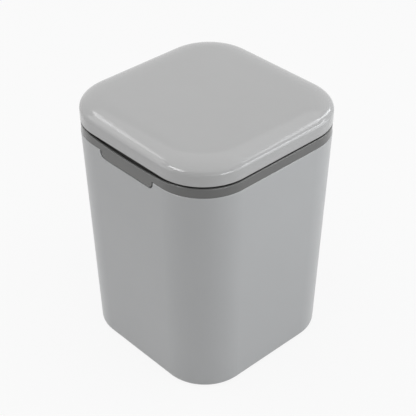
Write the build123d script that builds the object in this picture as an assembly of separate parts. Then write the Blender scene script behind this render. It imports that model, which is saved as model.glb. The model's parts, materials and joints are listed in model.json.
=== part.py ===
from build123d import *

import os
from math import acos, atan2, ceil, cos, degrees, hypot, pi, radians, sin, sqrt

# Push-top countertop bin, in millimetres, Z up, origin at the middle of the base.
# The front, with the ring's tab, faces -Y, and the lid's hinge is at the back, on +Y.
# The bucket carries a lift-off ring, which holds the push latch in front and the lid's hinge at the back.

# ---- Whole bin
top_width = 134.0
base_width = 125.0
overall_height = 180.0
top_corner = 34.5
base_corner = 31.5

# ---- Bucket
bucket_wall = 2.0
bucket_floor = 2.2
foot_height = 2.5
foot_rim = 5.0
base_edge = 2.2
floor_edge = 4.0
rim_edge = 0.8
largest_fillet = 0.9
notch_width = 50.0
notch_depth = 5.6
notch_corner = 4.5

# ---- Ring
band_height = 6.5
band_inset = 0.25
band_edge = 0.7
groove_lip = 1.3
groove_width = 2.0
groove_depth = 4.6
deck_thickness = 3.0
skirt_depth = 14.0
skirt_wall = 2.0
skirt_gap = 0.4
tab_gap = 0.4
tab_side_gap = 1.1
tab_inset = 0.25
opening_inset = 12.0
opening_latch_gap = 1.0
opening_post_gap = 0.9
opening_corner = 22.0
lip_wall = 1.8
lip_depth = 9.0
scoop_run = 14.5
scoop_dip = 2.8
scoop_reach = 11.0
upright_slope = 0.01
slot_corner = 1.0

# ---- Lid
lid_height = 15.0
lid_gap = 1.5
lid_wall = 2.0
lid_shoulder_width = 18.0
lid_shoulder_height = 8.0
lid_lower_edge = 0.5
liner_lift = 1.2
liner_thickness = 2.0
liner_gap = 0.3
liner_rim_height = 3.0
liner_rim_wall = 1.6
liner_boss_inset_x = 23.0
liner_boss_inset_y = 29.0
liner_boss_radius = 3.6

# ---- Hinge
hinge_inset = 6.0
hinge_rise = 3.0
hinge_radius = 3.4
pin_radius = 1.5
pin_play = 0.05
pin_chamfer = 0.3
post_width = 5.0
knuckle_width = 6.0
hinge_side_gap = 0.4
spring_bay = 9.0
clip_radius = 3.0
clip_thickness = 1.6
clip_gap = 0.3
clip_edge = 0.5
post_foot = 9.0
post_embed = 0.3
post_back_angle = -125.0
relief_width = 92.0
relief_ramp = 6.0
relief_front = 8.8
relief_depth = 2.7
relief_floor = 2.0

# ---- Lid spring, round the hinge pin
lid_spring_wire = 0.8
lid_spring_radius = 3.2
lid_spring_turns = 6
lid_spring_pitch = 1.3
lid_spring_leg = 15.0
lid_spring_foot = 10.5
spring_end_gap = 0.2
keeper_width = 6.0
keeper_length = 3.0
keeper_wall = 1.5

# ---- Striker
striker_flange = 22.0
striker_flange_depth = 9.0
striker_flange_height = 2.6
striker_thickness = 3.0
striker_neck = 4.4
striker_shank = 8.0
striker_head = 8.6
striker_head_height = 4.6
striker_lead = 2.3
striker_corner = 1.0
striker_screw_x = 8.0
striker_slot_gap = 0.4

# ---- Latch slider and its jaws
latch_inset = 12.5
slider_width = 21.0
slider_depth = 9.0
slider_length = 26.3
slider_drop = 1.2
slide_gap = 0.3
jaw_slot = 4.8
jaw_slot_depth = 15.3
jaw_anvil = 8.0
jaw_anvil_drop = 9.3
jaw_pivot_x = 7.2
jaw_pivot_drop = 12.3
jaw_side_gap = 0.2
jaw_root_radius = 2.2
jaw_trunnion_radius = 1.2
jaw_inner = 6.2
jaw_outer = 9.0
jaw_hook = 3.1
jaw_lead = 1.3
jaw_top_gap = 0.3
head_play = 0.3

# ---- Latch housing and cover
housing_wall = 2.0
housing_floor = 2.0
spring_room = 10.0
wire_room = 1.6
cover_wall = 1.6
ear_length = 7.5
ear_depth = 8.0
ear_height = 3.0
ear_screw_offset = 4.0
ear_drop = 4.5
boss_radius = 3.2
guide_radius = 1.5
guide_height = 5.0
peg_radius = 0.6
peg_inset = 3.0

# ---- Latch spring, under the slider
latch_spring_wire = 0.6
latch_spring_radius = 2.5
latch_spring_turns = 6.5
latch_spring_seat = 2.6
latch_spring_seat_gap = 0.5

# ---- Heart cam and the wire that follows it
wire_radius = 0.5
wire_arm = 16.0
wire_lean = 7.0
wire_bend = 1.0
wire_pivot_rise = 3.0
cam_depth = 1.1
cam_half_width = 5.0
cam_height = 7.4
cam_below_tip = 5.2
heart_width = 2.4
heart_height = 2.8
heart_lobe_share = 0.6
heart_side_share = 0.33
heart_notch_share = 0.25
heart_below_tip = 0.3
cam_corner = 1.0

# ---- Screws
screw_shank = 1.25
screw_head = 2.3
screw_head_height = 1.4
screw_play = 0.06
screw_recess = 0.6
screw_cross_share = 0.55
liner_screw_length = 8.0
striker_screw_length = 4.2
latch_screw_length = 7.0
small_screw_shank = 1.0
small_screw_head = 2.0
pilot_extra = 0.5

# ---- Heights and places that follow from the sizes above
top_half = top_width / 2
base_half = base_width / 2
scoop_width = 2 * (top_half - top_corner + scoop_run)
lid_bottom = overall_height - lid_height
band_top = lid_bottom - lid_gap
rim_z = band_top - band_height
deck_bottom = band_top - deck_thickness
skirt_bottom = rim_z - skirt_depth
floor_top = foot_height + bucket_floor
liner_bottom = lid_bottom + liner_lift
liner_top = liner_bottom + liner_thickness
shell_ceiling = overall_height - lid_wall
hinge_y = top_half - hinge_inset
hinge_z = lid_bottom + hinge_rise
relief_y = top_half - relief_front
relief_z = band_top - relief_depth
latch_y = latch_inset - top_half
slider_top = band_top - slider_drop
slider_bottom = slider_top - slider_length
housing_floor_z = slider_bottom - spring_room
housing_bottom = housing_floor_z - housing_floor
jaw_pivot_z = slider_top - jaw_pivot_drop
anvil_z = slider_top - jaw_anvil_drop
head_bottom = anvil_z + head_play
head_top = head_bottom + striker_head_height
hook_bottom = head_top + head_play
housing_half_x = slider_width / 2 + slide_gap + housing_wall
housing_front = slider_depth / 2 + slide_gap + housing_wall
housing_back = slider_depth / 2 + wire_room
ear_screw_x = housing_half_x + ear_screw_offset
opening_half_x = top_half - opening_inset
opening_front = latch_y + housing_back + cover_wall + opening_latch_gap + lip_wall
opening_back = relief_y - post_embed - post_foot - opening_post_gap
wire_y = slider_depth / 2 + wire_room / 2
wire_pivot_z = housing_floor_z + wire_pivot_rise
tip_x = wire_arm * sin(radians(wire_lean))
tip_z = wire_pivot_z + wire_arm * cos(radians(wire_lean))
cam_bottom = tip_z - cam_below_tip
heart_top = tip_z - heart_below_tip
spring_seat_z = slider_bottom + latch_spring_seat
ear_top = deck_bottom - ear_drop
post_inner = spring_bay
knuckle_inner = post_inner + post_width + hinge_side_gap
outer_post_inner = knuckle_inner + knuckle_width + hinge_side_gap
clip_inner = outer_post_inner + post_width + clip_gap
pin_half = clip_inner + clip_thickness + clip_gap
spring_foot_drop = hinge_z - band_top - lid_spring_wire / 2 - spring_end_gap
spring_foot_reach = hypot(lid_spring_foot, spring_foot_drop)
spring_start = pi + atan2(spring_foot_drop, lid_spring_foot) + acos(lid_spring_radius / spring_foot_reach)
spring_end = 2 * pi + pi / 2
spring_turns = lid_spring_turns + (spring_end - spring_start) / (2 * pi)
spring_half = spring_turns * lid_spring_pitch / 2
spring_slope = lid_spring_pitch / (2 * pi * lid_spring_radius)
liner_half = top_half - lid_wall - liner_gap
liner_corner = top_corner - lid_wall - liner_gap
liner_boss_x = top_half - liner_boss_inset_x
liner_boss_y = top_half - liner_boss_inset_y


def bucket_half(z):
    """Half the bucket's outside width at a height."""
    return base_half + (top_half - base_half) * z / rim_z


def bucket_corner(z):
    """Radius of the bucket's outside corners at a height."""
    return base_corner + (top_corner - base_corner) * z / rim_z


def outline(half, corner, z):
    return Pos(0, 0, z) * RectangleRounded(2 * half, 2 * half, corner)


def prism(half, corner, low, high):
    """Rounded square with upright sides."""
    return extrude(outline(half, corner, low), high - low)


def tapered(low, high, inset):
    """Rounded square that widens upwards with the bucket's wall, set in from its outside."""
    ends = [outline(bucket_half(z) - inset, bucket_corner(z) - inset, z) for z in (low, high)]
    return loft(ends, ruled=True)


def block(x_span, y_span, z_span):
    """Box from its lowest to its highest x, y and z."""
    spans = (x_span, y_span, z_span)
    sizes = [high - low for low, high in spans]
    middle = [(low + high) / 2 for low, high in spans]
    return Pos(*middle) * Box(*sizes)


def rod(radius, x, y, low, high):
    """Upright cylinder."""
    return Pos(x, y, (low + high) / 2) * Cylinder(radius, high - low)


def rod_along_x(radius, y, z, low, high):
    return Pos((low + high) / 2, y, z) * Rot(0, 90, 0) * Cylinder(radius, high - low)


def rod_along_y(radius, x, z, low, high):
    return Pos(x, (low + high) / 2, z) * Rot(90, 0, 0) * Cylinder(radius, high - low)


def mirrored(half_width, width):
    """The two spans along X of a pair of like features, one on each side."""
    return ((half_width, half_width + width), (-half_width - width, -half_width))


# ---- Bucket

def notch_shape(side_gap, lower_gap):
    """Upright plate with round lower corners that fills the rim's notch, less a gap at its sides and below."""
    width = notch_width - 2 * side_gap
    drop = notch_depth - lower_gap
    corner = min(notch_corner - lower_gap, largest_fillet * drop)
    plate = Pos(0, rim_z) * Rectangle(width, 2 * drop)
    plate = fillet(plate.vertices().group_by(Axis.Y)[0], corner)
    return extrude(Plane.XZ * plate, top_width)


def make_bucket():
    outside = tapered(0, rim_z, 0)
    outside = fillet(outside.edges().group_by(Axis.Z)[-1], rim_edge)
    outside = fillet(outside.edges().group_by(Axis.Z)[0], base_edge)
    inside = tapered(floor_top, rim_z + bucket_wall, bucket_wall)
    inside = fillet(inside.edges().group_by(Axis.Z)[0], floor_edge)
    under = prism(base_half - foot_rim, base_corner - foot_rim, 0, foot_height)
    return outside - inside - under - notch_shape(0, 0)


# ---- Ring

def ring_opening(grow, low, high):
    """Upright block with the shape of the ring's mouth, or larger."""
    depth = opening_back - opening_front + 2 * grow
    mouth = RectangleRounded(2 * (opening_half_x + grow), depth, opening_corner + grow)
    return extrude(Pos(0, (opening_back + opening_front) / 2, low) * mouth, high - low)


def scoop_cutter():
    """Large cylinder that dips the band's top edge under the lid's front and runs out on the deck."""
    half = scoop_width / 2
    radius = (half**2 + scoop_dip**2) / (2 * scoop_dip)
    tilt = atan2(scoop_dip, scoop_reach)
    front = band_inset - top_half
    middle = (0, front - radius * sin(tilt), band_top - scoop_dip + radius * cos(tilt))
    return Pos(*middle) * Rot(degrees(tilt) - 90, 0, 0) * Cylinder(radius, 4 * scoop_reach)


def make_band():
    """Solid block of the ring's visible band, with its scooped top edge rounded all the way round."""
    band = prism(top_half - band_inset, top_corner - band_inset, rim_z, band_top) - scoop_cutter()
    sides = [face for face in band.faces() if abs(face.normal_at().Z) < upright_slope]
    edges = [edge for side in sides for edge in side.edges() if edge.bounding_box().min.Z > rim_z + band_edge]
    return fillet(edges, band_edge)


def lip_groove():
    """Groove behind the band's top edge that leaves it standing as a thin lip, all the way round."""
    low = band_top - groove_depth
    outer, inner = [
        prism(top_half - inset, top_corner - inset, low, band_top)
        for inset in (band_inset + groove_lip, band_inset + groove_lip + groove_width)
    ]
    return outer - inner


def relief_shape(grow):
    """Shallow trough with ramped ends along the deck's back, for the lid's back wall to swing down into."""
    half = relief_width / 2 + grow
    profile = Polygon(
        (-half - relief_ramp, band_top),
        (-half, relief_z - grow),
        (half, relief_z - grow),
        (half + relief_ramp, band_top),
        align=None,
    )
    return Pos(0, top_half, 0) * extrude(Plane.XZ * profile, top_half - relief_y + grow)


def latch_slot():
    """Slot in the deck that the slider and its opening jaws rise through."""
    width = 2 * housing_half_x - housing_wall
    depth = slider_depth + 2 * slide_gap
    shape = Pos(0, latch_y, deck_bottom) * RectangleRounded(width, depth, slot_corner)
    return extrude(shape, deck_thickness)


def hinge_post(inner):
    """Bent post that carries the pin from in front, so that the lid's wall can swing down behind it."""
    foot_back = relief_y - post_embed
    foot_front = foot_back - post_foot
    low = band_top - post_embed
    back = radians(post_back_angle)
    profile = Polygon(
        (foot_front, low),
        (foot_back, low),
        (hinge_y + hinge_radius * cos(back), hinge_z + hinge_radius * sin(back)),
        (hinge_y, hinge_z),
        (hinge_y - hinge_radius, hinge_z),
        align=None,
    )
    profile += Pos(hinge_y, hinge_z) * Circle(hinge_radius)
    profile -= Pos(hinge_y, hinge_z) * Circle(pin_radius + pin_play)
    return extrude(Plane.YZ.offset(inner) * profile, post_width)


def latch_bosses():
    """Bosses under the deck for the two screws that hold the latch's ears."""
    bosses = Part()
    for x in (-ear_screw_x, ear_screw_x):
        bosses += rod(boss_radius, x, latch_y, ear_top, deck_bottom)
    return bosses


def latch_boss_holes():
    depth = latch_screw_length - ear_height + pilot_extra
    holes = Part()
    for x in (-ear_screw_x, ear_screw_x):
        holes += rod(screw_shank + screw_play, x, latch_y, ear_top, ear_top + depth)
    return holes


def make_ring():
    skirt_inset = bucket_wall + skirt_gap
    skirt = tapered(skirt_bottom, rim_z, skirt_inset)
    tab = notch_shape(tab_side_gap, tab_gap) & tapered(skirt_bottom, rim_z, tab_inset)
    channel_inset = skirt_inset + skirt_wall
    channel_half = bucket_half(skirt_bottom) - channel_inset
    channel_corner = bucket_corner(skirt_bottom) - channel_inset
    channel = prism(channel_half, channel_corner, skirt_bottom, deck_bottom)
    ring = make_band() + skirt + tab - channel
    ring += ring_opening(lip_wall, deck_bottom - lip_depth, band_top)
    ring += latch_bosses()
    channel_room = prism(channel_half, channel_corner, relief_z - relief_floor, band_top)
    ring += relief_shape(relief_floor) & channel_room
    ring -= relief_shape(0)
    ring -= ring_opening(0, skirt_bottom, band_top)
    ring -= lip_groove()
    ring -= scoop_cutter()
    ring -= latch_slot()
    ring -= latch_boss_holes()
    for inner in (post_inner, outer_post_inner):
        for low, high in mirrored(inner, post_width):
            ring += hinge_post(low)
    return ring


# ---- Lid

def crowned(inset, low, high):
    """Rounded square whose upright sides turn into its flat top along a quarter of an ellipse."""
    corner = top_corner - inset
    straight = top_half - top_corner
    width = lid_shoulder_width - inset
    height = lid_shoulder_height - inset
    side = Pos(0, low) * Rectangle(corner, high - low, align=Align.MIN)
    shoulder = Rectangle(width, height, align=Align.MIN) - Ellipse(width, height)
    side = Plane.XZ * (side - Pos(corner - width, high - height) * shoulder)
    shape = block((-straight, straight), (-straight, straight), (low, high))
    for turn in (0, 90, 180, 270):
        shape += Rot(0, 0, turn) * Pos(straight, 0, 0) * extrude(side, straight, both=True)
        shape += Rot(0, 0, turn) * Pos(straight, straight, 0) * revolve(side, Axis.Z, 90)
    return shape


def liner_boss_places():
    """The four bosses in the lid that the liner's screws go up into."""
    return [(x, y) for x in (-liner_boss_x, liner_boss_x) for y in (-liner_boss_y, liner_boss_y)]


def make_lid_shell():
    outside = crowned(0, lid_bottom, overall_height)
    outside = fillet(outside.edges().group_by(Axis.Z)[0], lid_lower_edge)
    shell = outside - crowned(lid_wall, lid_bottom, shell_ceiling)
    pilot = liner_screw_length - liner_thickness + pilot_extra
    for x, y in liner_boss_places():
        shell += rod(liner_boss_radius, x, y, liner_top, shell_ceiling)
        shell -= rod(screw_shank + screw_play, x, y, liner_top, liner_top + pilot)
    return shell


def keeper_bridge():
    """Low bridge on the liner that the lid spring's upper leg pushes up against."""
    underside = hinge_z + lid_spring_radius + lid_spring_wire / 2 + spring_end_gap
    front = hinge_y - lid_spring_leg + lid_spring_wire
    low_x = spring_half + spring_slope * lid_spring_leg - keeper_width / 2
    span_x = (low_x, low_x + keeper_width)
    span_y = (front, front + keeper_length)
    bridge = block(span_x, span_y, (liner_top, underside + keeper_wall))
    hole_x = (low_x + keeper_wall, low_x + keeper_width - keeper_wall)
    return bridge - block(hole_x, span_y, (liner_top, underside))


def make_lid_liner():
    liner = prism(liner_half, liner_corner, liner_bottom, liner_top + liner_rim_height)
    inner = liner_half - liner_rim_wall
    liner -= prism(inner, liner_corner - liner_rim_wall, liner_top, liner_top + liner_rim_height)
    notch_y = hinge_y - hinge_radius - (hinge_z - band_top)
    for low, high in mirrored(knuckle_inner + knuckle_width + hinge_side_gap / 2, pin_half - knuckle_inner):
        liner -= block((low, high), (notch_y, top_half), (liner_bottom, liner_top + liner_rim_height))
    middle = knuckle_inner - hinge_side_gap / 2
    liner -= block((-middle, middle), (notch_y, top_half), (liner_bottom, liner_top + liner_rim_height))
    for low, high in mirrored(knuckle_inner, knuckle_width):
        liner -= block((low, high), (hinge_y, top_half), (liner_top, liner_top + liner_rim_height))
        liner += rod_along_x(hinge_radius, hinge_y, hinge_z, low, high)
    liner -= rod_along_x(pin_radius + pin_play, hinge_y, hinge_z, -pin_half, pin_half)
    liner += keeper_bridge()
    half_x = striker_head / 2 + striker_slot_gap
    half_y = striker_thickness / 2 + striker_slot_gap
    liner -= block((-half_x, half_x), (latch_y - half_y, latch_y + half_y), (liner_bottom, liner_top))
    for x, y in liner_boss_places():
        liner -= rod(screw_shank + screw_play, x, y, liner_bottom, liner_top)
    for x in (-striker_screw_x, striker_screw_x):
        liner -= rod(small_screw_shank + screw_play, x, latch_y, liner_bottom, liner_top)
    return liner


def make_striker():
    half_flange = striker_flange / 2
    half_depth = striker_flange_depth / 2
    half_thick = striker_thickness / 2
    flange_top = liner_top + striker_flange_height
    span_y = (latch_y - half_thick, latch_y + half_thick)
    striker = block(
        (-half_flange, half_flange), (latch_y - half_depth, latch_y + half_depth), (liner_top, flange_top)
    )
    striker = fillet(striker.edges().filter_by(Axis.Z), striker_corner)
    shank_low = slider_top + head_play
    striker += block((-striker_shank / 2, striker_shank / 2), span_y, (shank_low, liner_top))
    striker += block((-striker_neck / 2, striker_neck / 2), span_y, (head_top, shank_low))
    half_head = striker_head / 2
    head = Polygon(
        (-striker_neck / 2, head_bottom),
        (striker_neck / 2, head_bottom),
        (half_head, head_bottom + striker_lead),
        (half_head, head_top),
        (-half_head, head_top),
        (-half_head, head_bottom + striker_lead),
        align=None,
    )
    striker += Pos(0, latch_y + half_thick, 0) * extrude(Plane.XZ * head, striker_thickness)
    for x in (-striker_screw_x, striker_screw_x):
        striker -= rod(small_screw_shank + screw_play, x, latch_y, liner_top, flange_top)
    return striker


# ---- Hinge

def make_hinge_pin():
    pin = rod_along_x(pin_radius, hinge_y, hinge_z, -pin_half, pin_half)
    return chamfer(pin.edges(), pin_chamfer)


def make_hinge_clips():
    """Two domed push-on caps, one on each end of the pin."""
    clips = []
    for side in (-1, 1):
        span = sorted((side * clip_inner, side * (clip_inner + clip_thickness)))
        clip = rod_along_x(clip_radius, hinge_y, hinge_z, *span)
        outer = clip.faces().sort_by(Axis.X)[-1 if side > 0 else 0]
        clip = fillet(outer.edges(), clip_edge)
        clips.append(clip - rod_along_x(pin_radius + pin_play, hinge_y, hinge_z, *span))
    return Compound(clips)


# ---- Springs

def biarc(start, start_way, end, end_way):
    """Two arcs that leave the start along one direction and reach the end along another."""
    chord = end - start
    both = start_way + end_way
    spread = 2 * (1 - start_way.dot(end_way))
    along = chord.dot(both)
    reach = (-along + sqrt(along**2 + spread * chord.dot(chord))) / spread
    first = start + start_way * reach
    second = end - end_way * reach
    joint = (first + second) / 2
    return [
        Edge.make_tangent_arc(start, start_way, joint),
        Edge.make_tangent_arc(joint, (second - first).normalized(), end),
    ]


def coil_path(plane, radius, pitch, start_angle, turns, leg_in, leg_out):
    """Leg, turns by biarcs of a quarter turn, leg. The coil winds round the plane's normal."""
    steps = ceil(4 * turns)
    stations = []
    for step in range(steps + 1):
        turned = turns * step / steps
        angle = start_angle + 2 * pi * turned
        point = Vector(radius * cos(angle), radius * sin(angle), pitch * turned)
        way = Vector(-radius * sin(angle), radius * cos(angle), pitch / (2 * pi))
        stations.append((plane.from_local_coords(point), plane.from_local_coords(point + way)))
    stations = [(point, (ahead - point).normalized()) for point, ahead in stations]
    first, first_way = stations[0]
    last, last_way = stations[-1]
    edges = [Edge.make_line(first - first_way * leg_in, first)]
    for (start, start_way), (end, end_way) in zip(stations, stations[1:]):
        edges += biarc(start, start_way, end, end_way)
    edges.append(Edge.make_line(last, last + last_way * leg_out))
    return edges


def least_gap(edges, diameter, turn_length):
    """Least gap between stretches of one tube that lie at least half a turn apart along it."""
    samples = 8
    points = []
    run = 0.0
    for edge in edges:
        for step in range(samples):
            share = step / samples
            points.append((run + edge.length * share, edge.position_at(share)))
        run += edge.length
    least = run
    for index, (here, point) in enumerate(points):
        for there, other in points[index + 1:]:
            if there - here > turn_length / 2:
                least = min(least, (point - other).length - diameter)
    return least


def sweep_tube(edges, radius):
    start = edges[0]
    section = Plane(origin=start.position_at(0), z_dir=start.tangent_at(0)) * Circle(radius)
    return sweep(section, path=Wire(edges))


def make_lid_spring():
    """Torsion spring: its lower leg rests on the ring's deck, its upper leg under the liner's bridge."""
    plane = Plane(origin=(-spring_half, hinge_y, hinge_z), x_dir=(0, 1, 0), z_dir=(1, 0, 0))
    foot = sqrt(spring_foot_reach**2 - lid_spring_radius**2)
    edges = coil_path(
        plane, lid_spring_radius, lid_spring_pitch, spring_start, spring_turns, foot, lid_spring_leg
    )
    gap = least_gap(edges, lid_spring_wire, 2 * pi * lid_spring_radius)
    print(f"lid spring: {len(edges)} runs, least gap to itself {gap:.2f} mm")
    return sweep_tube(edges, lid_spring_wire / 2)


def make_latch_spring():
    low = housing_floor_z + spring_end_gap + latch_spring_wire / 2
    high = spring_seat_z - spring_end_gap - latch_spring_wire / 2
    pitch = (high - low) / latch_spring_turns
    plane = Plane(origin=(0, latch_y, low))
    leg = latch_spring_wire / 4
    edges = coil_path(plane, latch_spring_radius, pitch, 0, latch_spring_turns, leg, leg)
    gap = least_gap(edges, latch_spring_wire, 2 * pi * latch_spring_radius)
    print(f"latch spring: {len(edges)} runs, least gap to itself {gap:.2f} mm")
    return sweep_tube(edges, latch_spring_wire / 2)


# ---- Latch

def at_latch(shape):
    return Pos(0, latch_y, 0) * shape


def make_latch_housing():
    """Box that is open at the top and at the back, with an ear on each side."""
    half_x = housing_half_x
    inner_x = half_x - housing_wall
    inner_front = housing_wall - housing_front
    housing = block((-half_x, half_x), (-housing_front, housing_back), (housing_bottom, deck_bottom))
    housing -= block((-inner_x, inner_x), (inner_front, housing_back), (housing_floor_z, deck_bottom))
    housing += rod(guide_radius, 0, 0, housing_floor_z, housing_floor_z + guide_height)
    for side in (-1, 1):
        span = sorted((side * half_x, side * (half_x + ear_length)))
        ear = block(span, (-ear_depth / 2, ear_depth / 2), (ear_top - ear_height, ear_top))
        x = side * ear_screw_x
        housing += ear - rod(screw_shank + screw_play, x, 0, ear_top - ear_height, ear_top)
    for x, z in peg_places():
        housing += rod_along_y(peg_radius, x, z, housing_back, housing_back + cover_wall)
    return at_latch(housing)


def peg_places():
    """The housing's four pegs, one near each end of both side walls."""
    peg_x = housing_half_x - housing_wall / 2
    return [(x, z) for x in (-peg_x, peg_x) for z in (housing_bottom + peg_inset, deck_bottom - peg_inset)]


def make_latch_cover():
    back = housing_back + cover_wall
    half_x = housing_half_x
    cover = block((-half_x, half_x), (housing_back, back), (housing_bottom, deck_bottom))
    cover -= rod_along_y(wire_radius + pin_play, 0, wire_pivot_z, housing_back, back)
    for x, z in peg_places():
        cover -= rod_along_y(peg_radius + pin_play, x, z, housing_back, back)
    return at_latch(cover)


def heart_cam():
    """Pocket in the slider's back face, with the heart-shaped island that the wire runs round."""
    back = slider_depth / 2
    half_heart = heart_width / 2
    half_lobe = half_heart * heart_lobe_share
    side_z = heart_top - heart_height * heart_side_share
    notch_z = heart_top - heart_height * heart_notch_share
    pocket = RectangleRounded(2 * cam_half_width, cam_height, cam_corner)
    pocket = Pos(0, cam_bottom + cam_height / 2) * pocket
    pocket -= Polygon(
        (0, heart_top - heart_height),
        (half_heart, side_z),
        (half_lobe, heart_top),
        (0, notch_z),
        (-half_lobe, heart_top),
        (-half_heart, side_z),
        align=None,
    )
    return Pos(0, back, 0) * extrude(Plane.XZ * pocket, cam_depth)


def make_latch_slider():
    half_x = slider_width / 2
    half_y = slider_depth / 2
    slider = block((-half_x, half_x), (-half_y, half_y), (slider_bottom, slider_top))
    slot_bottom = slider_top - jaw_slot_depth
    slot_y = (-jaw_slot / 2, jaw_slot / 2)
    slider -= block((-half_x, half_x), slot_y, (slot_bottom, slider_top))
    slider += block((-jaw_anvil / 2, jaw_anvil / 2), slot_y, (slot_bottom, anvil_z))
    for x in (-jaw_pivot_x, jaw_pivot_x):
        slider -= rod_along_y(jaw_trunnion_radius + pin_play, x, jaw_pivot_z, -half_y, half_y)
    seat_radius = latch_spring_radius + latch_spring_wire / 2 + latch_spring_seat_gap
    slider -= rod(seat_radius, 0, 0, slider_bottom, spring_seat_z)
    slider -= heart_cam()
    return at_latch(slider)


def make_latch_jaw(side):
    """Claw that turns on its own trunnions in the slider's cheeks and hooks in over the striker's head."""
    top = slider_top - jaw_top_gap
    profile = Polygon(
        (jaw_inner, jaw_pivot_z),
        (jaw_outer, jaw_pivot_z),
        (jaw_outer, top),
        (jaw_hook + jaw_lead, top),
        (jaw_hook, top - jaw_lead),
        (jaw_hook, hook_bottom),
        (jaw_inner, hook_bottom),
        align=None,
    )
    profile += Pos(jaw_pivot_x, jaw_pivot_z) * Circle(jaw_root_radius)
    half_y = jaw_slot / 2 - jaw_side_gap
    jaw = Pos(0, half_y, 0) * extrude(Plane.XZ * profile, 2 * half_y)
    half_trunnion = slider_depth / 2 - jaw_side_gap / 2
    jaw += rod_along_y(jaw_trunnion_radius, jaw_pivot_x, jaw_pivot_z, -half_trunnion, half_trunnion)
    if side < 0:
        jaw = mirror(jaw, Plane.YZ)
    return at_latch(jaw)


def make_latch_wire():
    """Wire whose lower end turns in the cover and whose upper end rides in the slider's heart cam."""
    pocket_floor = slider_depth / 2 - cam_depth
    path = FilletPolyline(
        (0, housing_back + cover_wall - wire_radius, wire_pivot_z),
        (0, wire_y, wire_pivot_z),
        (tip_x, wire_y, tip_z),
        (tip_x, pocket_floor + slide_gap, tip_z),
        radius=wire_bend,
    )
    return at_latch(sweep_tube(path.edges(), wire_radius))


# ---- Screws

def screw(shank_radius, head_radius, length, x, y, seat):
    """Pan-head screw with a cross recess, driven upwards, its head under the seat."""
    head = rod(head_radius, x, y, seat - screw_head_height, seat)
    head = fillet(head.edges().group_by(Axis.Z)[0], screw_head_height / 2)
    arm = head_radius * screw_cross_share
    half_slot = screw_recess / 2
    low = seat - screw_head_height
    cross = block((x - arm, x + arm), (y - half_slot, y + half_slot), (low, low + screw_recess))
    cross += block((x - half_slot, x + half_slot), (y - arm, y + arm), (low, low + screw_recess))
    shank = rod(shank_radius, x, y, seat, seat + length)
    shank = chamfer(shank.edges().group_by(Axis.Z)[-1], shank_radius / 2)
    return head - cross + shank


def screws(shank_radius, head_radius, length, places, seat):
    return Compound([screw(shank_radius, head_radius, length, x, y, seat) for x, y in places])


def make_liner_screws():
    places = liner_boss_places()
    return screws(screw_shank, screw_head, liner_screw_length, places, liner_bottom)


def make_striker_screws():
    places = [(-striker_screw_x, latch_y), (striker_screw_x, latch_y)]
    return screws(small_screw_shank, small_screw_head, striker_screw_length, places, liner_bottom)


def make_latch_screws():
    places = [(-ear_screw_x, latch_y), (ear_screw_x, latch_y)]
    return screws(screw_shank, screw_head, latch_screw_length, places, ear_top - ear_height)


nodes = {
    "bucket": make_bucket(),
    "ring_frame": make_ring(),
    "lid_shell": make_lid_shell(),
    "lid_liner": make_lid_liner(),
    "liner_screws": make_liner_screws(),
    "striker": make_striker(),
    "striker_screws": make_striker_screws(),
    "hinge_pin": make_hinge_pin(),
    "hinge_clips": make_hinge_clips(),
    "lid_spring": make_lid_spring(),
    "latch_housing": make_latch_housing(),
    "latch_cover": make_latch_cover(),
    "latch_screws": make_latch_screws(),
    "latch_slider": make_latch_slider(),
    "latch_jaw_left": make_latch_jaw(-1),
    "latch_jaw_right": make_latch_jaw(1),
    "latch_spring": make_latch_spring(),
    "latch_wire": make_latch_wire(),
}

os.makedirs("parts", exist_ok=True)
for name, shape in nodes.items():
    export_step(shape, f"parts/{name}.step")
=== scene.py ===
import json
import math

import bmesh
import bpy
from mathutils import Matrix, Vector


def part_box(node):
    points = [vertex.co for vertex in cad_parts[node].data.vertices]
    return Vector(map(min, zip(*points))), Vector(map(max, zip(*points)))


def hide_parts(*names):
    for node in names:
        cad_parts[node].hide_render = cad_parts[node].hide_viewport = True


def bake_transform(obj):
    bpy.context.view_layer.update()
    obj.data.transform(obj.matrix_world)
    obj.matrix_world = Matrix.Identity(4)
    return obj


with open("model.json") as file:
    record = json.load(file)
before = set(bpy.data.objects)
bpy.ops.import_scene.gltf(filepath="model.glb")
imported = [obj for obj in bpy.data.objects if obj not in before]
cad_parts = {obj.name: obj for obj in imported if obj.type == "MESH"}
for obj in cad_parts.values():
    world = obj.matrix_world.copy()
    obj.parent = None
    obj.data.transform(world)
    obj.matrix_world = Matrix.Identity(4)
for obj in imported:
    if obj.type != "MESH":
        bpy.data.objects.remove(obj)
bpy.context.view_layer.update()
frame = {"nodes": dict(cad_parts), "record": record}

# A push-top countertop bin, in metres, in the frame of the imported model: Z up, front towards -Y.

# ---- Camera
CAMERA_AZIMUTH = 47.29
CAMERA_ELEVATION = 36.54
CAMERA_ROLL = -0.28
CAMERA_DISTANCE = 0.7784
CAMERA_TARGET = Vector((0.0, 0.0, 0.0817))
CAMERA_LENS = 99.3
CAMERA_SENSOR = 36.0
CAMERA_SHIFT = (0.0026, 0.0303)
CAMERA_NEAR = 0.05
CAMERA_FAR = 60.0

# ---- Light. Lamps are placed by azimuth and elevation round the bin's middle, in degrees, as the camera is.
LIGHT_CENTRE = Vector((0.0, 0.0, 0.10))
LAMP_DISTANCE = 1.2
TOP_LAMP_DISTANCE = 1.6
FLOOR_LAMP_HEIGHT = 0.002
WHITE = (1.0, 1.0, 1.0)
DAYLIGHT = (0.95, 0.98, 1.0)
WORLD_LIGHT = 0.48
SHOWN_WORLD_LIGHT = 1.0

# ---- Floor
FLOOR_HALF = 30.0
FLOOR_DROP = 0.0003
FLOOR_GREY = (0.65, 0.65, 0.65)
FLOOR_ROUGHNESS = 0.9
FLOOR_GLOW = 0.88

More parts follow.
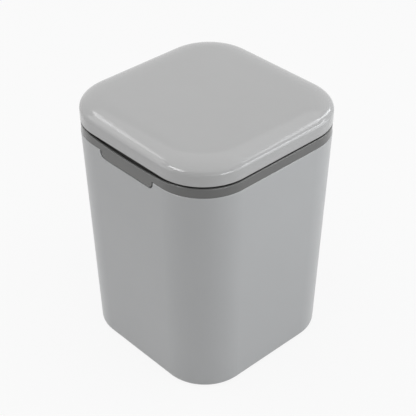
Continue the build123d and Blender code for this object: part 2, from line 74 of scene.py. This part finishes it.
# ---- Springs
LID_SPRING_WIRE = 0.0008
LID_SPRING_RADIUS = 0.0032
LID_SPRING_PITCH = 0.0013
LID_SPRING_TURNS = 6
LID_SPRING_LEG = 0.015
LID_SPRING_FOOT = 0.0105
LATCH_SPRING_WIRE = 0.0006
LATCH_SPRING_RADIUS = 0.0025
LATCH_SPRING_TURNS = 6.5
LATCH_SPRING_CLOSED_TURNS = 0.8
WIRE_SIDES = 12
WIRE_EDGES_PER_DIAMETER = 8
STEPS_PER_TURN = 36

# ---- Colours, linear
BUCKET_GREY = (0.400, 0.405, 0.410)
LID_GREY = (0.410, 0.410, 0.410)
RING_GREY = (0.120, 0.120, 0.118)
LATCH_GREY = (0.035, 0.035, 0.037)
SLIDER_WHITE = (0.72, 0.71, 0.67)
ZINC = (0.60, 0.60, 0.61)
PIN_STEEL = (0.62, 0.62, 0.63)
SPRING_STEEL = (0.48, 0.48, 0.48)

# ---- Finishes. Noise scales are per metre, and noise values run from 0 to 1.
NOISE_LOW = 0.25
NOISE_HIGH = 0.75
TINT_LOW = 0.3
TINT_HIGH = 0.7
CLOUD_SCALE = 22.0
CLOUD_DETAIL = 4.0
CLOUD_TINT = 0.012
PATCH_SCALE = 70.0
PATCH_DETAIL = 5.0
PATCH_ROUGHNESS = 0.6
PATCH_DULLEST = 1.12
PATCH_GLOSSIEST = 0.88
WAVE_DETAIL = 1.0
GRAIN_DETAIL = 2.0
PLASTIC_IOR = 1.5
EDGE_SAMPLES = 4
STREAK_SCALE = 900.0
STREAK_DETAIL = 3.0
STREAK_ROUGHNESS = 0.6
STREAK_TINT = 0.10
STREAK_DULLEST = 1.25
STREAK_GLOSSIEST = 0.8


def direction(azimuth, elevation):
    """Unit vector towards an azimuth and an elevation in degrees. Azimuth 0 is -Y and 90 is +X."""
    a, e = math.radians(azimuth), math.radians(elevation)
    return Vector((math.sin(a) * math.cos(e), -math.cos(a) * math.cos(e), math.sin(e)))


# ---- Materials

def node_material(name):
    """New node material. Returns it with its node tree and its main shader."""
    material = bpy.data.materials.new(name)
    material.use_nodes = True
    tree = material.node_tree
    shader = tree.nodes["Principled BSDF"]
    return material, tree, shader


def add_noise(tree, scale, detail, rough=0.5, stretch=None):
    """Noise over the object's own coordinates, in metres. Returns its value output."""
    coords = tree.nodes.new("ShaderNodeTexCoord")
    source = coords.outputs["Object"]
    if stretch:
        mapping = tree.nodes.new("ShaderNodeMapping")
        mapping.inputs["Scale"].default_value = stretch
        tree.links.new(source, mapping.inputs["Vector"])
        source = mapping.outputs["Vector"]
    noise = tree.nodes.new("ShaderNodeTexNoise")
    noise.inputs["Scale"].default_value = scale
    noise.inputs["Detail"].default_value = detail
    noise.inputs["Roughness"].default_value = rough
    tree.links.new(source, noise.inputs["Vector"])
    return noise.outputs["Fac"]


def add_range(tree, value, low, high):
    """Maps the middle half of a noise value to a range."""
    ranger = tree.nodes.new("ShaderNodeMapRange")
    ranger.inputs["From Min"].default_value = NOISE_LOW
    ranger.inputs["From Max"].default_value = NOISE_HIGH
    ranger.inputs["To Min"].default_value = low
    ranger.inputs["To Max"].default_value = high
    tree.links.new(value, ranger.inputs["Value"])
    return ranger.outputs["Result"]


def add_tint(tree, value, colour, spread):
    """Colour that goes from a little darker to a little lighter with a noise value."""
    ramp = tree.nodes.new("ShaderNodeValToRGB")
    ramp.color_ramp.elements[0].position = TINT_LOW
    ramp.color_ramp.elements[0].color = [c * (1 - spread) for c in colour] + [1]
    ramp.color_ramp.elements[1].position = TINT_HIGH
    ramp.color_ramp.elements[1].color = [c * (1 + spread) for c in colour] + [1]
    tree.links.new(value, ramp.inputs["Fac"])
    return ramp.outputs["Color"]


def add_bump(tree, height, distance, under=None):
    """Normals bumped by a height value, over the normals given as under."""
    bump = tree.nodes.new("ShaderNodeBump")
    bump.inputs["Distance"].default_value = distance
    tree.links.new(height, bump.inputs["Height"])
    if under:
        tree.links.new(under, bump.inputs["Normal"])
    return bump.outputs["Normal"]


def add_soft_edges(tree, radius):
    """Normals that round off the sharp edges of a moulding."""
    bevel = tree.nodes.new("ShaderNodeBevel")
    bevel.samples = EDGE_SAMPLES
    bevel.inputs["Radius"].default_value = radius
    return bevel.outputs["Normal"]


def moulded_plastic(name, colour, roughness, grain, grain_height, wave, wave_height, edge):
    """Moulded plastic: cloudy colour, uneven gloss, fine grain and the slow waves of a moulded face."""
    material, tree, shader = node_material(name)
    cloud = add_noise(tree, CLOUD_SCALE, CLOUD_DETAIL)
    tree.links.new(add_tint(tree, cloud, colour, CLOUD_TINT), shader.inputs["Base Color"])
    patches = add_noise(tree, PATCH_SCALE, PATCH_DETAIL, PATCH_ROUGHNESS)
    gloss = add_range(tree, patches, roughness * PATCH_GLOSSIEST, roughness * PATCH_DULLEST)
    tree.links.new(gloss, shader.inputs["Roughness"])
    normal = add_soft_edges(tree, edge)
    normal = add_bump(tree, add_noise(tree, 1 / wave, WAVE_DETAIL), wave_height, normal)
    normal = add_bump(tree, add_noise(tree, 1 / grain, GRAIN_DETAIL), grain_height, normal)
    tree.links.new(normal, shader.inputs["Normal"])
    shader.inputs["IOR"].default_value = PLASTIC_IOR
    return material


def drawn_metal(name, colour, roughness, stretch, streak_height):
    """Bright metal with fine streaks along one direction."""
    material, tree, shader = node_material(name)
    streaks = add_noise(tree, STREAK_SCALE, STREAK_DETAIL, STREAK_ROUGHNESS, stretch)
    tree.links.new(add_tint(tree, streaks, colour, STREAK_TINT), shader.inputs["Base Color"])
    gloss = add_range(tree, streaks, roughness * STREAK_GLOSSIEST, roughness * STREAK_DULLEST)
    tree.links.new(gloss, shader.inputs["Roughness"])
    normal = add_bump(tree, streaks, streak_height)
    tree.links.new(normal, shader.inputs["Normal"])
    shader.inputs["Metallic"].default_value = 1.0
    return material


PLASTICS = {
    "bucket_plastic": {
        "colour": BUCKET_GREY, "roughness": 0.32,
        "grain": 0.0006, "grain_height": 0.000001, "wave": 0.03, "wave_height": 0.000006, "edge": 0.0002,
    },
    "lid_plastic": {
        "colour": LID_GREY, "roughness": 0.13,
        "grain": 0.0012, "grain_height": 0.000001, "wave": 0.014, "wave_height": 0.00001, "edge": 0.0003,
    },
    "ring_plastic": {
        "colour": RING_GREY, "roughness": 0.22,
        "grain": 0.0005, "grain_height": 0.000002, "wave": 0.02, "wave_height": 0.000006, "edge": 0.0002,
    },
    "latch_plastic": {
        "colour": LATCH_GREY, "roughness": 0.5,
        "grain": 0.0004, "grain_height": 0.00001, "wave": 0.01, "wave_height": 0.00001, "edge": 0.0002,
    },
    "slider_plastic": {
        "colour": SLIDER_WHITE, "roughness": 0.38,
        "grain": 0.0004, "grain_height": 0.000004, "wave": 0.01, "wave_height": 0.00001, "edge": 0.0002,
    },
}
METALS = {
    "screw_steel": {
        "colour": ZINC, "roughness": 0.32, "stretch": (1, 1, 1), "streak_height": 0.000008,
    },
    "pin_steel": {
        "colour": PIN_STEEL, "roughness": 0.22, "stretch": (0.05, 1, 1), "streak_height": 0.000004,
    },
    "spring_steel": {
        "colour": SPRING_STEEL, "roughness": 0.3, "stretch": (1, 1, 1), "streak_height": 0.000004,
    },
}
MATERIALS = {name: moulded_plastic(name, **finish) for name, finish in PLASTICS.items()}
MATERIALS.update({name: drawn_metal(name, **finish) for name, finish in METALS.items()})


def dress_cad_nodes():
    """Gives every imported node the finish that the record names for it."""
    for row in frame["record"]["subparts"]:
        node = frame["nodes"][row["node"]]
        node.data.materials.clear()
        node.data.materials.append(MATERIALS[row["material_slot"]])


dress_cad_nodes()


# ---- Springs, as round wire built in place of the CAD springs

def helix(turns, radius, start_angle, rise):
    """Points round Z. rise gives the height after a number of turns."""
    steps = math.ceil(turns * STEPS_PER_TURN)
    points = []
    for step in range(steps + 1):
        turned = turns * step / steps
        angle = start_angle + 2 * math.pi * turned
        points.append(Vector((radius * math.cos(angle), radius * math.sin(angle), rise(turned))))
    return points


def add_wire(name, points, diameter, slot):
    """Round wire along a line of points, with slightly rounded ends. Returns the piece."""
    ways = [(b - a).normalized() for a, b in zip(points, points[1:])]
    ways = [ways[0]] + [(a + b).normalized() for a, b in zip(ways, ways[1:])] + [ways[-1]]
    edge = diameter / WIRE_EDGES_PER_DIAMETER
    radius = diameter / 2
    stations = [(points[0], ways[0], radius - edge), (points[0] + ways[0] * edge, ways[0], radius)]
    stations += [(point, way, radius) for point, way in zip(points[1:-1], ways[1:-1])]
    stations += [(points[-1] - ways[-1] * edge, ways[-1], radius), (points[-1], ways[-1], radius - edge)]
    wire = bmesh.new()
    side = ways[0].orthogonal().normalized()
    rings = []
    for point, way, size in stations:
        side = (side - way * side.dot(way)).normalized()
        across = way.cross(side)
        ring = []
        for k in range(WIRE_SIDES):
            angle = 2 * math.pi * k / WIRE_SIDES
            ring.append(wire.verts.new(point + (side * math.cos(angle) + across * math.sin(angle)) * size))
        rings.append(ring)
    for low, high in zip(rings, rings[1:]):
        for k in range(WIRE_SIDES):
            after = (k + 1) % WIRE_SIDES
            wire.faces.new((low[k], low[after], high[after], high[k])).smooth = True
    wire.faces.new(list(reversed(rings[0])))
    wire.faces.new(rings[-1])
    mesh = bpy.data.meshes.new(name)
    wire.to_mesh(mesh)
    wire.free()
    piece = bpy.data.objects.new(name, mesh)
    bpy.context.scene.collection.objects.link(piece)
    mesh.materials.append(MATERIALS[slot])
    return piece


def joint_place(name):
    """Where a joint of the record has its axis."""
    joint = next(row for row in frame["record"]["behaviour"]["joints"] if row["name"] == name)
    return Vector(joint["pos_m"])


def make_lid_spring():
    """Torsion spring round the hinge, with a lower leg towards the ring and an upper leg towards the lid,
    built once in its rest pose.
    """
    hinge = joint_place("lid_swing")
    foot_drop = hinge.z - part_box("lid_spring")[0][2] - LID_SPRING_WIRE / 2
    foot_reach = math.hypot(LID_SPRING_FOOT, foot_drop)
    foot = math.sqrt(foot_reach**2 - LID_SPRING_RADIUS**2)
    start = math.pi + math.atan2(foot_drop, LID_SPRING_FOOT) + math.acos(LID_SPRING_RADIUS / foot_reach)
    end = 2.5 * math.pi
    turns = LID_SPRING_TURNS + (end - start) / (2 * math.pi)
    half = turns * LID_SPRING_PITCH / 2
    coil = helix(turns, LID_SPRING_RADIUS, start, lambda turned: LID_SPRING_PITCH * turned - half)
    first_way = (coil[0] - coil[1]).normalized()
    last_way = (coil[-1] - coil[-2]).normalized()
    coil = [coil[0] + first_way * foot] + coil + [coil[-1] + last_way * LID_SPRING_LEG]
    points = [hinge + Vector((point.z, point.x, point.y)) for point in coil]
    spring = add_wire("lid_spring_wire", points, LID_SPRING_WIRE, "spring_steel")
    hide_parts("lid_spring")
    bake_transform(spring)


def make_latch_spring():
    """Compression spring under the slider, with closed ends, built once at its rest length."""
    low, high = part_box("latch_spring")
    bottom = low[2] + LATCH_SPRING_WIRE / 2
    top = high[2] - LATCH_SPRING_WIRE / 2
    centre_x = (low[0] + high[0]) / 2
    centre_y = (low[1] + high[1]) / 2
    closed_rise = LATCH_SPRING_CLOSED_TURNS * LATCH_SPRING_WIRE
    open_turns = LATCH_SPRING_TURNS - 2 * LATCH_SPRING_CLOSED_TURNS
    open_pitch = (top - bottom - 2 * closed_rise) / open_turns

    def rise(turned):
        lower = min(turned, LATCH_SPRING_CLOSED_TURNS)
        middle = min(max(turned - LATCH_SPRING_CLOSED_TURNS, 0), open_turns)
        upper = max(turned - LATCH_SPRING_CLOSED_TURNS - open_turns, 0)
        return bottom + (lower + upper) * LATCH_SPRING_WIRE + middle * open_pitch

    coil = helix(LATCH_SPRING_TURNS, LATCH_SPRING_RADIUS, 0, rise)
    points = [point + Vector((centre_x, centre_y, 0)) for point in coil]
    spring = add_wire("latch_spring_wire", points, LATCH_SPRING_WIRE, "spring_steel")
    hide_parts("latch_spring")
    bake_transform(spring)


make_lid_spring()
make_latch_spring()


# ---- Floor and white surroundings

def add_background_rays(tree):
    """1 for rays that show the surroundings: the camera's own, mirrored and passed through clear things."""
    path = tree.nodes.new("ShaderNodeLightPath")
    total = path.outputs["Is Camera Ray"]
    for name in ("Is Glossy Ray", "Is Transmission Ray"):
        most = tree.nodes.new("ShaderNodeMath")
        most.operation = "MAXIMUM"
        tree.links.new(total, most.inputs[0])
        tree.links.new(path.outputs[name], most.inputs[1])
        total = most.outputs["Value"]
    return total


def make_floor():
    """Pale floor. It shows white where the bin leaves it open and keeps the bin's soft shadow."""
    mesh = bpy.data.meshes.new("floor")
    signs = ((-1, -1), (1, -1), (1, 1), (-1, 1))
    corners = [(FLOOR_HALF * x, FLOOR_HALF * y, -FLOOR_DROP) for x, y in signs]
    mesh.from_pydata(corners, [], [(0, 1, 2, 3)])
    floor = bpy.data.objects.new("floor", mesh)
    bpy.context.scene.collection.objects.link(floor)
    material, tree, shader = node_material("floor_white")
    shader.inputs["Base Color"].default_value = (*FLOOR_GREY, 1)
    shader.inputs["Roughness"].default_value = FLOOR_ROUGHNESS
    shader.inputs["Specular IOR Level"].default_value = 0.0
    glow = tree.nodes.new("ShaderNodeEmission")
    glow.inputs["Color"].default_value = (*WHITE, 1)
    mix = tree.nodes.new("ShaderNodeMixShader")
    share = tree.nodes.new("ShaderNodeMath")
    share.operation = "MULTIPLY"
    share.inputs[1].default_value = FLOOR_GLOW
    tree.links.new(add_background_rays(tree), share.inputs[0])
    tree.links.new(share.outputs["Value"], mix.inputs["Fac"])
    tree.links.new(shader.outputs["BSDF"], mix.inputs[1])
    tree.links.new(glow.outputs["Emission"], mix.inputs[2])
    tree.links.new(mix.outputs["Shader"], tree.nodes["Material Output"].inputs["Surface"])
    mesh.materials.append(material)


def make_world():
    """White surroundings, which light the bin less than they show in it."""
    world = bpy.data.worlds.new("studio")
    world.use_nodes = True
    tree = world.node_tree
    fill = tree.nodes["Background"]
    fill.inputs["Color"].default_value = (*WHITE, 1)
    fill.inputs["Strength"].default_value = WORLD_LIGHT
    shown = tree.nodes.new("ShaderNodeBackground")
    shown.inputs["Color"].default_value = (*WHITE, 1)
    shown.inputs["Strength"].default_value = SHOWN_WORLD_LIGHT
    mix = tree.nodes.new("ShaderNodeMixShader")
    tree.links.new(add_background_rays(tree), mix.inputs["Fac"])
    tree.links.new(fill.outputs["Background"], mix.inputs[1])
    tree.links.new(shown.outputs["Background"], mix.inputs[2])
    tree.links.new(mix.outputs["Shader"], tree.nodes["World Output"].inputs["Surface"])
    bpy.context.scene.world = world


def soft_lamp(name, width, height, brightness, colour):
    """Rectangular lamp of an even brightness, where 1 is white."""
    data = bpy.data.lights.new(name, "AREA")
    data.shape = "RECTANGLE"
    data.size = width
    data.size_y = height
    data.energy = brightness * math.pi * width * height
    data.color = colour
    lamp = bpy.data.objects.new(name, data)
    bpy.context.scene.collection.objects.link(lamp)
    lamp.rotation_mode = "QUATERNION"
    lamp.visible_camera = False
    return lamp


def hang_lamp(
    name, azimuth, elevation, width, height, brightness, colour=WHITE, tilt=0, distance=LAMP_DISTANCE
):
    """Soft lamp that faces the bin's middle, turned about its own axis by tilt degrees."""
    lamp = soft_lamp(name, width, height, brightness, colour)
    towards = direction(azimuth, elevation)
    lamp.location = LIGHT_CENTRE + towards * distance
    turn = Matrix.Rotation(math.radians(tilt), 4, "Z").to_quaternion()
    lamp.rotation_quaternion = (-towards).to_track_quat("-Z", "Y") @ turn
    return lamp


def lay_lamp(name, azimuth, near, far, width, brightness, colour=WHITE):
    """Bright patch of the table that lies between two distances from the bin and shines upwards."""
    lamp = soft_lamp(name, far - near, width, brightness, colour)
    lamp.location = direction(azimuth, 0) * (near + far) / 2 + Vector((0, 0, FLOOR_LAMP_HEIGHT))
    turn = Matrix.Rotation(math.radians(azimuth - 90), 4, "Z") @ Matrix.Rotation(math.pi, 4, "X")
    lamp.rotation_quaternion = turn.to_quaternion()
    return lamp


def glint_only(lamp):
    """A lamp that shows in glossy edges alone, as a reflecting card does, and adds no light elsewhere."""
    lamp.visible_diffuse = False


def make_camera():
    """Camera that looks at its target from its azimuth and elevation, with a slight roll."""
    back = direction(CAMERA_AZIMUTH, CAMERA_ELEVATION)
    right = Vector((math.cos(math.radians(CAMERA_AZIMUTH)), math.sin(math.radians(CAMERA_AZIMUTH)), 0))
    up = back.cross(right)
    roll = math.radians(CAMERA_ROLL)
    turned_right = right * math.cos(roll) + up * math.sin(roll)
    turned_up = up * math.cos(roll) - right * math.sin(roll)
    data = bpy.data.cameras.new("camera")
    data.lens = CAMERA_LENS
    data.sensor_width = CAMERA_SENSOR
    data.shift_x, data.shift_y = CAMERA_SHIFT
    data.clip_start = CAMERA_NEAR
    data.clip_end = CAMERA_FAR
    camera = bpy.data.objects.new("camera", data)
    bpy.context.scene.collection.objects.link(camera)
    axes = Matrix((turned_right, turned_up, back)).transposed().to_4x4()
    camera.matrix_world = Matrix.Translation(CAMERA_TARGET + back * CAMERA_DISTANCE) @ axes
    bpy.context.scene.camera = camera


make_floor()
make_world()
hang_lamp("left_box", -69, 45.5, width=0.48, height=0.11, brightness=3.9)
hang_lamp("left_mid", -50, 30, width=0.50, height=0.50, brightness=1.5)
hang_lamp("left_fill", -25, 6, width=0.70, height=0.50, brightness=1.2)
hang_lamp("front_fill", 68, 4, width=0.70, height=0.50, brightness=0.8)
hang_lamp("right_fill", 126, 4, width=0.90, height=0.60, brightness=1.7, colour=DAYLIGHT)
hang_lamp("right_low", 134, 14.5, width=0.76, height=0.12, brightness=5.5, colour=DAYLIGHT, tilt=25)
hang_lamp("right_high", 143, 41, width=0.44, height=0.14, brightness=3.8, colour=DAYLIGHT, tilt=20)
hang_lamp("top_box", 47, 88, width=3.0, height=3.0, brightness=0.69, distance=TOP_LAMP_DISTANCE)
lay_lamp("table_right", 128, near=0.70, far=1.20, width=0.90, brightness=3.4, colour=DAYLIGHT)
glint_only(hang_lamp("left_spot", -9, 36, width=0.62, height=0.26, brightness=9.0))
glint_only(hang_lamp("right_spot", 90, 3, width=0.46, height=0.26, brightness=8.0, colour=DAYLIGHT))
glint_only(
    hang_lamp("right_arc", 166, 30, width=0.78, height=0.14, brightness=5.5, colour=DAYLIGHT, tilt=-51)
)
make_camera()
bpy.context.scene.view_settings.view_transform = "Standard"
